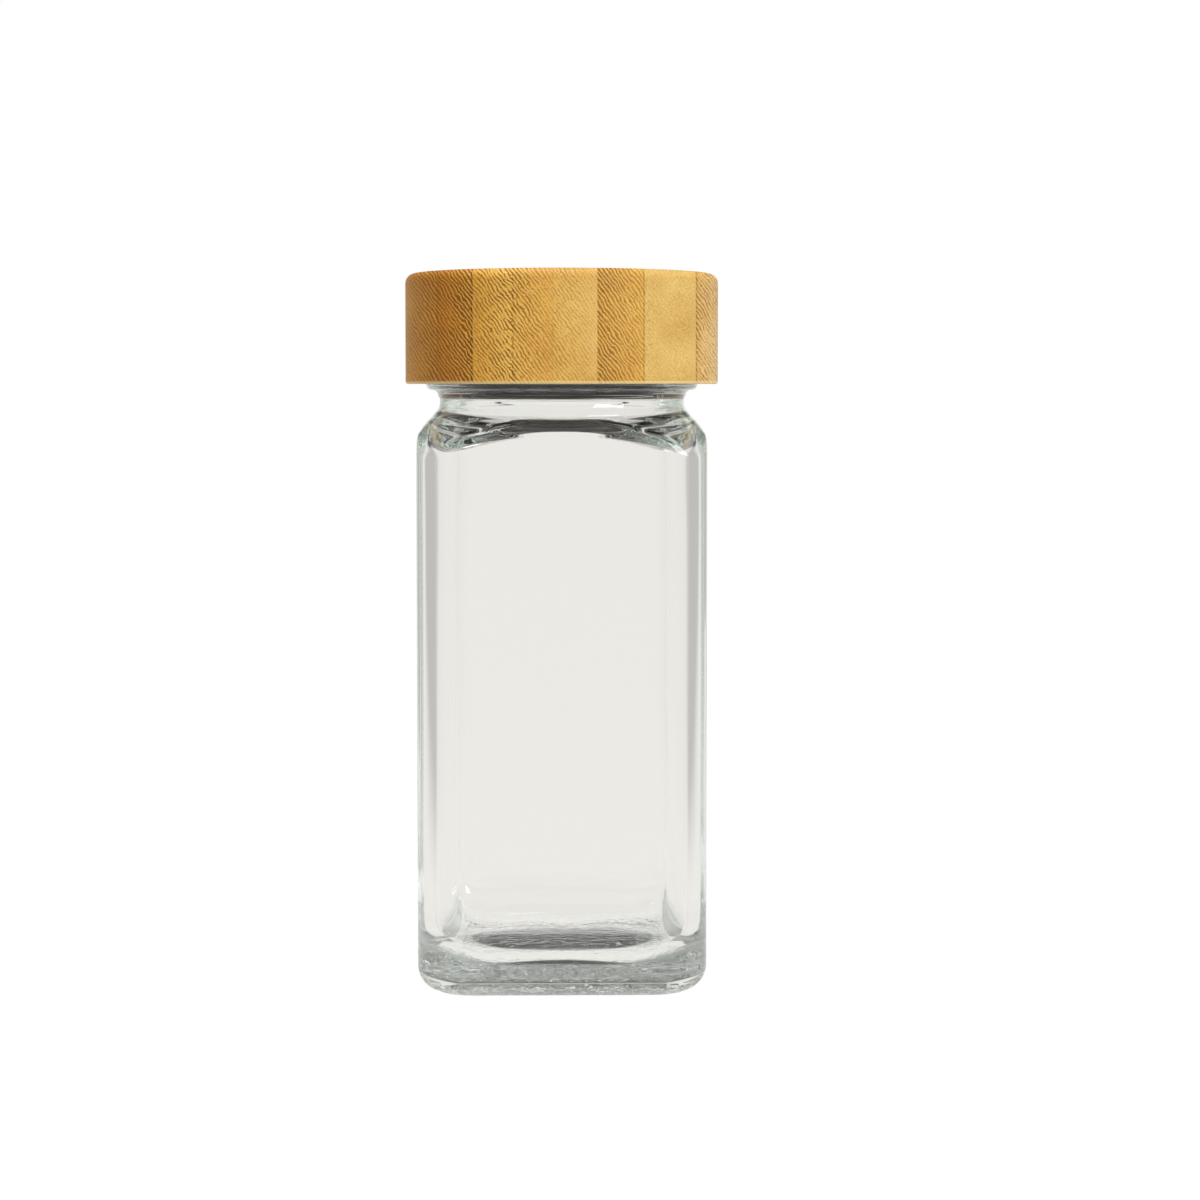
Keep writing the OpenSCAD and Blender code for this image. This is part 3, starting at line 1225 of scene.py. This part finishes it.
@dataclass(frozen=True)
class LaminatedBamboo:
    """Bamboo strips glued side by side, with their fibres running from front to back.

    Attributes:
        strips: The strips, from left to right.
        half_width: Half the width of the board.
        glue_width: Width of a glue joint.
        mark_colour: Colour of the fibre marks.
        mark_share: How far a full mark takes that colour.
        pale_colour: Colour of the soft tissue between them.
        pale_share: How far that tissue takes its colour.
        foot_highlight_colour: Colour of the painted highlight along the rounded edge at the foot.
        foot_highlight_share: How far that edge takes it.
        foot_highlight_z: Heights where the painted highlight begins and where it is in full.
        lean: Angle of the rows of fibres, in degrees.
        run: How much longer a mark is along the fibres than across them.
        row_scale: Scale of the rows: they lie 2 pi / 20 / scale = 0.5 mm apart.
        dashes_per_mm: Closeness of the breaks that cut the rows into dashes.
        dots_per_mm: Closeness of single fibre ends.
        fibres_per_mm: Closeness of the fine fibres.
        clouds_per_mm: Closeness of slow changes of tone.
        grain_h: Height of the grain that sanding leaves.
        roughness: Roughness of the sanded face.
        gloss: Specular level of the bare, unvarnished face.
    """

    strips: tuple[Strip, ...] = (
        Strip(-18.84, "#e2a342", "#c47c0e", 0.15, 0.55, "#7a460a"),
        Strip(-13.37, "#c67a0c", "#c67e0c", 0.35, 0.85, "#6e3f08"),
        Strip(-7.34, "#f4b544", "#f8c364", 0.55, 1.0, "#8e5a12"),
        Strip(-1.26, "#eab456", "#eab65c", 0.9, 0.3, "#b98742"),
        Strip(5.26, "#e8bc62", "#efc778", 0.5, 0.15, "#8c6224"),
        Strip(12.30, "#bb862a", "#e3b355", 0.7, 0.4, "#b48944"),
        Strip(20.46, "#eac87b", "#edcc80", 0.1, 0.04, "#b48944"),
        Strip(24.5, "#e4ba76", "#efd29f", 0.6, 0.5, "#b48944"),
    )
    half_width: float = 24.5
    glue_width: float = 0.18
    mark_colour: str = "#70430f"
    mark_share: float = 0.95
    pale_colour: str = "#f8d070"
    pale_share: float = 0.8
    foot_highlight_colour: str = "#f6dfa6"
    foot_highlight_share: float = 0.6
    foot_highlight_z: tuple[float, float] = (93.35, 93.1)
    lean: float = 36.0
    run: float = 26.0
    row_scale: float = 0.62
    dashes_per_mm: float = 0.85
    dots_per_mm: float = 1.7
    fibres_per_mm: float = 5.5
    clouds_per_mm: float = 0.16
    grain_h: float = 0.05
    roughness: float = 0.46
    gloss: float = 0.24

    def place(self, x: float) -> float:
        """Turns a distance from the middle into a place on a ramp from 0 to 1."""
        return min(1.0, max(0.0, (x / self.half_width + 1) / 2))

    def colour_stops(self) -> list[tuple[float, str]]:
        """Lists the ramp's stops for the strips and the glue joints between them.

        Returns:
            Pairs of a place and a colour.
        """
        stops = []
        left = -self.half_width
        half = self.glue_width / 2
        for strip in self.strips:
            stops.append((self.place(left + half), strip.left_colour))
            stops.append((self.place(strip.right - half), strip.right_colour))
            if strip is not self.strips[-1]:
                stops.append((self.place(strip.right - half / 2), strip.joint))
                stops.append((self.place(strip.right + half / 2), strip.joint))
            left = strip.right
        return stops

    def grain_stops(self) -> list[tuple[float, str]]:
        """Lists the ramp's stops for the strength of the fibre marks, as greys.

        Returns:
            Pairs of a place and a colour.
        """
        stops = []
        left = -self.half_width
        inset, gamma = 0.02, 2.2
        for strip in self.strips:
            ends = (left + inset, strip.left_grain), (strip.right - inset, strip.right_grain)
            for x, grain in ends:
                level = round(255 * (grain ** (1 / gamma)))
                stops.append((self.place(x), f"#{level:02x}{level:02x}{level:02x}"))
            left = strip.right
        return stops

    def make(self) -> bpy.types.Material:
        """Makes the bamboo: its strips, its fibre marks, a painted highlight along its foot and its
        sanded face.

        Returns:
            The material.
        """
        material, tree = new_material("laminated_bamboo_turned_and_sanded")
        place = place_in_mm(tree)
        parts = add_node(tree, "SeparateXYZ", Vector=place)
        across = add_node(
            tree, "MapRange", Value=parts.outputs["X"], From_Min=-self.half_width,
            From_Max=self.half_width,
        )
        base = set_ramp(add_node(tree, "ValToRGB", Fac=across), self.colour_stops())
        strength = set_ramp(add_node(tree, "ValToRGB", Fac=across), self.grain_stops())

        # Fibres: long along Y, in leaning and wandering rows when seen from their ends
        turned = add_node(
            tree, "Mapping", Vector=place, Rotation=(0, math.radians(self.lean), 0),
            Scale=(1, 1 / self.run, 1),
        )
        rows, marks = self.marks(tree, turned)
        fine = add_node(
            tree, "TexNoise", Vector=turned, Scale=self.fibres_per_mm, Detail=3.0, Roughness=0.65
        )
        cloud = add_node(tree, "TexNoise", Vector=turned, Scale=self.clouds_per_mm, Detail=2.0)
        weight = add_node(tree, "Math", TIMES, in0=marks, in1=strength)
        dark_share = add_node(tree, "Math", TIMES, in0=weight, in1=self.mark_share)
        pale_rows = add_node(tree, "MapRange", SMOOTH, Value=rows, From_Min=0.55, From_Max=1.0)
        pale_part = add_node(tree, "Math", TIMES, in0=pale_rows, in1=strength)
        pale_share = add_node(tree, "Math", TIMES, in0=pale_part, in1=self.pale_share)
        toned = add_node(
            tree, "Mix", TINT_COLOURS, in0=1.0, in6=base, in7=self.tone(tree, fine, cloud)
        ).outputs[2]
        paled = add_node(
            tree, "Mix", MIX_COLOURS, in0=pale_share, in6=toned, in7=linear(self.pale_colour)
        ).outputs[2]
        colour = add_node(
            tree, "Mix", MIX_COLOURS, in0=dark_share, in6=paled, in7=linear(self.mark_colour)
        ).outputs[2]
        # Painted highlight: a pale band mixed into the colour along the rounded edge at the foot
        foot = add_node(
            tree, "MapRange", SMOOTH, Value=parts.outputs["Z"], From_Min=self.foot_highlight_z[0],
            From_Max=self.foot_highlight_z[1], To_Max=self.foot_highlight_share,
        )
        sanded = add_node(
            tree, "Mix", MIX_COLOURS, in0=foot, in6=colour, in7=linear(self.foot_highlight_colour)
        ).outputs[2]

        # Sanded and left bare: a satin face whose fibre ends lie a little lower
        height = add_node(
            tree, "Math", {"operation": "MULTIPLY_ADD"}, in0=weight, in1=-1.0, in2=fine
        )
        bump = add_node(tree, "Bump", Strength=0.55, Distance=self.grain_h * MM, Height=height)
        rough = add_node(
            tree, "MapRange", Value=fine, To_Min=self.roughness - 0.06,
            To_Max=self.roughness + 0.12,
        )
        wood = add_node(
            tree, "BsdfPrincipled", Base_Color=sanded, Roughness=rough, Normal=bump,
            Specular_IOR_Level=self.gloss,
        )
        add_node(tree, "OutputMaterial", Surface=wood)
        return material

    def marks(
        self, tree: bpy.types.NodeTree, turned: bpy.types.Node
    ) -> tuple[bpy.types.NodeSocket, bpy.types.Node]:
        """Adds the dark marks of the fibre bundles: broken rows, and dots between them.

        Real bundles are some 0.3 mm wide and 0.4 mm or more apart. These are drawn a little
        coarser, so that they show.

        Args:
            tree: The material's tree.
            turned: The place of a point, turned and stretched along the fibres.

        Returns:
            The rows, from 0 to 1, and the strength of the marks.
        """
        rows = add_node(
            tree, "TexWave", {"wave_type": "BANDS", "bands_direction": "X"}, Vector=turned,
            Scale=self.row_scale, Distortion=7.0, Detail=2.0, Detail_Scale=0.8,
            Detail_Roughness=0.6,
        ).outputs["Fac"]
        dashes = add_node(
            tree, "TexNoise", Vector=turned, Scale=self.dashes_per_mm, Detail=2.0, Roughness=0.6
        )
        cells = add_node(
            tree, "TexVoronoi", {"feature": "F1"}, Vector=turned, Scale=self.dots_per_mm,
            Randomness=0.95,
        )
        # Dark where a row is lowest and isn't broken, and in the middle of a cell
        row_marks = add_node(tree, "MapRange", SMOOTH, Value=rows, From_Min=0.42, From_Max=0.06)
        broken = add_node(tree, "MapRange", SMOOTH, Value=dashes, From_Min=0.33, From_Max=0.55)
        dots = add_node(tree, "MapRange", SMOOTH, Value=cells, From_Min=0.30, From_Max=0.08)
        lines = add_node(tree, "Math", TIMES, in0=row_marks, in1=broken)
        return rows, add_node(tree, "Math", {"operation": "MAXIMUM"}, in0=lines, in1=dots)

    @staticmethod
    def tone(
        tree: bpy.types.NodeTree, fine: bpy.types.Node, cloud: bpy.types.Node
    ) -> bpy.types.NodeSocket:
        """Adds the light and shade of fine fibres and of slow changes along a strip.

        Args:
            tree: The material's tree.
            fine: Fine noise.
            cloud: Slow noise.

        Returns:
            A colour round white that the strips' colour is multiplied by.
        """
        grains = set_ramp(
            add_node(tree, "ValToRGB", Fac=fine),
            [(0.28, "#c2b08e"), (0.5, "#f4f0e6"), (0.7, WHITE)],
        )
        slow = set_ramp(add_node(tree, "ValToRGB", Fac=cloud), [(0.3, "#eadfce"), (0.7, WHITE)])
        return add_node(tree, "Mix", TINT_COLOURS, in0=1.0, in6=grains, in7=slow).outputs[2]


@dataclass(frozen=True)
class MouldedPolypropylene:
    """Polypropylene dyed in the mass and moulded against polished steel.

    Attributes:
        name: The material's name.
        colour: Colour of its thick parts.
        pale: Colour where the melt flowed thin.
        roughness: Roughness of its skin.
        grain_per_mm: Closeness of the fine grain of its skin.
        flow_per_mm: Closeness of the slow changes of colour.
        grain_h: Height of that grain.
    """

    name: str
    colour: str
    pale: str
    roughness: float
    grain_per_mm: float = 3.0
    flow_per_mm: float = 0.12
    grain_h: float = 0.02

    def make(self) -> bpy.types.Material:
        """Makes the plastic: its dyed mass and the skin that the mould left.

        Returns:
            The material.
        """
        material, tree = new_material(self.name)
        place = place_in_mm(tree)
        grain = add_node(
            tree, "TexNoise", Vector=place, Scale=self.grain_per_mm, Detail=3.0, Roughness=0.6
        )
        flow = add_node(tree, "TexNoise", Vector=place, Scale=self.flow_per_mm, Detail=1.0)
        shade = set_ramp(
            add_node(tree, "ValToRGB", Fac=flow), [(0.3, self.colour), (0.7, self.pale)]
        )
        # The steel leaves a soft gloss, and the melt a grain too fine to see but in its shine
        rough = add_node(
            tree, "MapRange", Value=grain, To_Min=self.roughness - 0.05,
            To_Max=self.roughness + 0.08,
        )
        bump = add_node(tree, "Bump", Strength=0.3, Distance=self.grain_h * MM, Height=grain)
        plastic = add_node(
            tree, "BsdfPrincipled", Base_Color=shade, Roughness=rough, Normal=bump, IOR=1.49
        )
        add_node(tree, "OutputMaterial", Surface=plastic)
        return material


@dataclass(frozen=True)
class ClosedCellFoam:
    """White polyethylene foam sheet with fine closed cells.

    Attributes:
        colour: Colour of a cell's middle.
        wall: Colour towards its wall.
        corner: Colour where the walls meet.
        cell: Width of a cell.
        cell_h: Height of a cell's dome.
    """

    colour: str = "#f6f5f1"
    wall: str = "#e9e8e2"
    corner: str = "#dddbd4"
    cell: float = 0.22
    cell_h: float = 0.04

    def make(self) -> bpy.types.Material:
        """Makes the foam: its cells and their domes.

        Returns:
            The material.
        """
        material, tree = new_material("closed_cell_foam_sheet")
        cells = add_node(
            tree, "TexVoronoi", {"feature": "F1"}, Vector=place_in_mm(tree), Scale=1 / self.cell
        )
        shade = set_ramp(
            add_node(tree, "ValToRGB", Fac=cells),
            [(0.0, self.colour), (0.6, self.wall), (1.0, self.corner)],
        )
        # Blown with gas: domed cells that scatter the light, so the sheet is white and matt
        bump = add_node(
            tree, "Bump", {"invert": True}, Strength=0.6, Distance=self.cell_h * MM, Height=cells
        )
        foam = add_node(tree, "BsdfPrincipled", Base_Color=shade, Roughness=0.8, Normal=bump)
        add_node(tree, "OutputMaterial", Surface=foam)
        return material


@dataclass(frozen=True)
class Studio:
    """Pale floor, soft light and a camera at eye height, as in a plain product picture.

    Attributes:
        camera_z: Height of the camera, level with the lid's foot.
        distance: Distance of the camera from the jar's axis.
        lens: Focal length for a 36 mm wide sensor.
        aim_x: How far to the right of the jar the camera looks.
        shift_y: Vertical shift of the picture.
        horizon_y: Row of the 1200 pixel picture that is level with the camera.
        picture: Width and height of the picture in pixels.
        sensor: Width of the camera's sensor.
        floor_r: Radius of the floor, in metres.
        glow: Brightness of the table behind the jar, as its light reaches the jar.
        dim: Brightness of the table in front of the picture.
        dim_y: Where that ends and where the full glow begins, in metres.
        under: Share of that light left under the jar: a painted shadow where it stands.
        painted_shadow_r: Radii between which that painted shadow gives way to the full light, in
            metres.
        flank: Share of that light left at the sides, beyond the picture.
        flank_slope: Slopes, as seen from above, between which it falls off.
        near: How far ahead of the jar those slopes start on the floor, in metres.
        warm: Colour of the light that the table and the room send into the glass.
        belt: The room's greys, from level with the jar to overhead, as heights from 0 to 1.
        belt_z: Heights in the room between which the fall-off at the sides ends.
        light_z: Height on the jar that the lights face.
        bounces: Greatest number of bounces of light, enough for light that runs round in the glass.
    """

    camera_z: float = 92.8
    distance: float = 400.0
    lens: float = 76.2
    aim_x: float = 6.0
    shift_y: float = -0.075
    horizon_y: float = 384.0
    picture: float = 1200.0
    sensor: float = 36.0
    floor_r: float = 30.0
    glow: float = 0.84
    dim: float = 0.78
    dim_y: tuple[float, float] = (-0.22, -0.115)
    under: float = 0.04
    painted_shadow_r: tuple[float, float] = (0.0142, 0.0158)
    flank: float = 0.62
    flank_slope: tuple[float, float] = (0.27, 0.75)
    near: float = 0.3
    warm: str = "#fffdf8"
    belt: tuple[tuple[float, str], ...] = (
        (0.0, "#edebe6"), (0.16, "#edebe6"), (0.27, "#484848"), (0.45, "#4c4c4c"),
        (0.65, "#c8c8c8"), (1.0, "#e4e4e4"),
    )
    belt_z: tuple[float, float] = (0.2, 0.4)
    light_z: float = 55.0
    bounces: int = 120

    def add_camera(self) -> None:
        """Adds the camera: part of its view down comes from the shift, the rest from a tilt."""
        data = bpy.data.cameras.new("camera")
        data.lens = self.lens
        data.sensor_width = self.sensor
        data.shift_y = self.shift_y
        focal = self.lens / self.sensor * self.picture
        rows = self.picture / 2 - self.horizon_y + self.shift_y * self.picture
        tilt = math.atan(rows / focal)
        turn = math.atan(self.aim_x / self.distance)
        camera = bpy.data.objects.new("camera", data)
        camera.location = Vector((0, -self.distance, self.camera_z)) * MM
        camera.rotation_euler = (math.pi / 2 - tilt, 0, -turn)
        bpy.context.scene.collection.objects.link(camera)
        bpy.context.scene.camera = camera

    def add_floor(self) -> None:
        """Adds the pale floor: an opal sheet lit from below, plain white to the camera."""
        bm = bmesh.new()
        bmesh.ops.create_circle(bm, cap_ends=True, segments=96, radius=self.floor_r)
        floor = finish_mesh("floor", bm)
        material, tree = new_material("matt_white_light_table")
        where = add_node(tree, "TexCoord").outputs["Object"]
        parts = add_node(tree, "SeparateXYZ", Vector=where)
        glow = add_node(
            tree, "MapRange", SMOOTH, Value=parts.outputs["Y"], From_Min=self.dim_y[0],
            From_Max=self.dim_y[1], To_Min=self.dim, To_Max=self.glow,
        )
        reach = add_node(tree, "VectorMath", {"operation": "LENGTH"}, in0=where).outputs["Value"]
        # Painted shadow: the table's light is dimmed in a disc under the jar
        under = add_node(
            tree, "MapRange", SMOOTH, Value=reach, From_Min=self.painted_shadow_r[0],
            From_Max=self.painted_shadow_r[1], To_Min=self.under, To_Max=1.0,
        )
        both = add_node(tree, "Math", TIMES, in0=glow, in1=under)
        shaded = add_node(tree, "Math", TIMES, in0=both, in1=self.sides(tree, parts, self.near))
        seen = add_node(tree, "LightPath").outputs["Is Camera Ray"]
        bright = add_node(tree, "Mix", {"data_type": "FLOAT"}, in0=seen, in2=shaded, in3=1.0)
        tint = add_node(
            tree, "Mix", MIX_COLOURS, in0=seen, in6=linear(self.warm), in7=linear(WHITE)
        ).outputs[2]
        paint = add_node(
            tree, "BsdfPrincipled", Base_Color=linear("#181818"), Roughness=0.9,
            Specular_IOR_Level=0.0, Emission_Color=tint, Emission_Strength=bright,
        )
        add_node(tree, "OutputMaterial", Surface=paint)
        floor.data.materials.append(material)

    def sides(
        self, tree: bpy.types.NodeTree, parts: bpy.types.Node, near: float
    ) -> bpy.types.Node:
        """Lets the light fall off to the left and right of the picture.

        Args:
            tree: The node tree.
            parts: The place or direction, in its parts.
            near: Length added along the view, so that nothing falls off near the jar.

        Returns:
            The node that gives the share of the light that is left.
        """
        aside, along = (
            add_node(tree, "Math", {"operation": "ABSOLUTE"}, in0=parts.outputs[axis])
            for axis in "XY"
        )
        ahead = add_node(tree, "Math", {"operation": "ADD"}, in0=along, in1=near)
        least = add_node(tree, "Math", {"operation": "MAXIMUM"}, in0=ahead, in1=0.001)
        slope = add_node(tree, "Math", {"operation": "DIVIDE"}, in0=aside, in1=least)
        return add_node(
            tree, "MapRange", SMOOTH, Value=slope, From_Min=self.flank_slope[0],
            From_Max=self.flank_slope[1], To_Min=1.0, To_Max=self.flank,
        )

    def add_light(
        self, name: str, place: tuple[float, float, float], size: tuple[float, float], power: float
    ) -> None:
        """Adds a soft box that faces the middle of the jar.

        Args:
            name: The light's name.
            place: Its place, in millimetres.
            size: Its width and height, in millimetres.
            power: Its power in watts.
        """
        data = bpy.data.lights.new(name, "AREA")
        data.shape = "RECTANGLE"
        data.size, data.size_y = (s * MM for s in size)
        data.energy = power
        light = bpy.data.objects.new(name, data)
        light.location = Vector(place) * MM
        towards = Vector((0, 0, self.light_z)) * MM - light.location
        light.rotation_euler = towards.to_track_quat("-Z", "Y").to_euler()
        bpy.context.scene.collection.objects.link(light)

    def add_world(self) -> None:
        """Adds the room: pale overhead, with a dark belt above the table that the glass shows.

        The camera itself sees it plain white.
        """
        world = bpy.data.worlds.new("room")
        world.use_nodes = True
        tree = world.node_tree
        tree.nodes.clear()
        where = add_node(tree, "TexCoord").outputs["Generated"]
        parts = add_node(tree, "SeparateXYZ", Vector=where)
        height = parts.outputs["Z"]
        greys = set_ramp(add_node(tree, "ValToRGB", Fac=height), self.belt)
        low = add_node(
            tree, "MapRange", Value=height, From_Min=self.belt_z[0], From_Max=self.belt_z[1],
            To_Min=1.0, To_Max=0.0,
        )
        room = add_node(
            tree, "Mix", TINT_COLOURS, in0=low, in6=greys, in7=self.sides(tree, parts, 0.0)
        ).outputs[2]
        seen = add_node(tree, "LightPath").outputs["Is Camera Ray"]
        shown = add_node(
            tree, "Mix", MIX_COLOURS, in0=seen, in6=room, in7=linear(WHITE)
        ).outputs[2]
        sky = add_node(tree, "Background", Color=shown, Strength=1.0)
        add_node(tree, "OutputWorld", Surface=sky)
        bpy.context.scene.world = world

    def build(self) -> None:
        """Builds the whole studio."""
        self.add_camera()
        self.add_floor()
        self.add_world()
        self.add_light("key", place=(520, -520, 420), size=(420, 420), power=4.2)
        self.add_light("top", place=(-80, -60, 700), size=(300, 300), power=2.0)
        scene = bpy.context.scene
        scene.view_settings.view_transform = "Standard"
        scene.cycles.max_bounces = self.bounces
        scene.cycles.transmission_bounces = self.bounces
        scene.cycles.glossy_bounces = self.bounces


def main() -> None:
    """Builds the studio and every piece of the jar, and notes the sizes of the result."""
    logging.basicConfig(level=logging.INFO, format="%(message)s")
    # Painted shade: the liner's dark brown and the shaker's near-black are partly their own colour
    # and partly the shade that falls inside the lid
    shaded_brown = MouldedPolypropylene("moulded_liner_plastic", "#2b2622", "#3a342e", roughness=0.38)
    shaded_black = MouldedPolypropylene("moulded_shaker_plastic", "#17171a", "#222225", roughness=0.3)
    Studio().build()
    GlassJar().build(SodaLimeGlass().make())
    BambooLid().build(LaminatedBamboo().make())
    LidLiner().build(shaded_brown.make())
    SifterInsert().build(shaded_black.make())
    SealDisc().build(ClosedCellFoam().make())


if __name__ == "__main__":
    main()
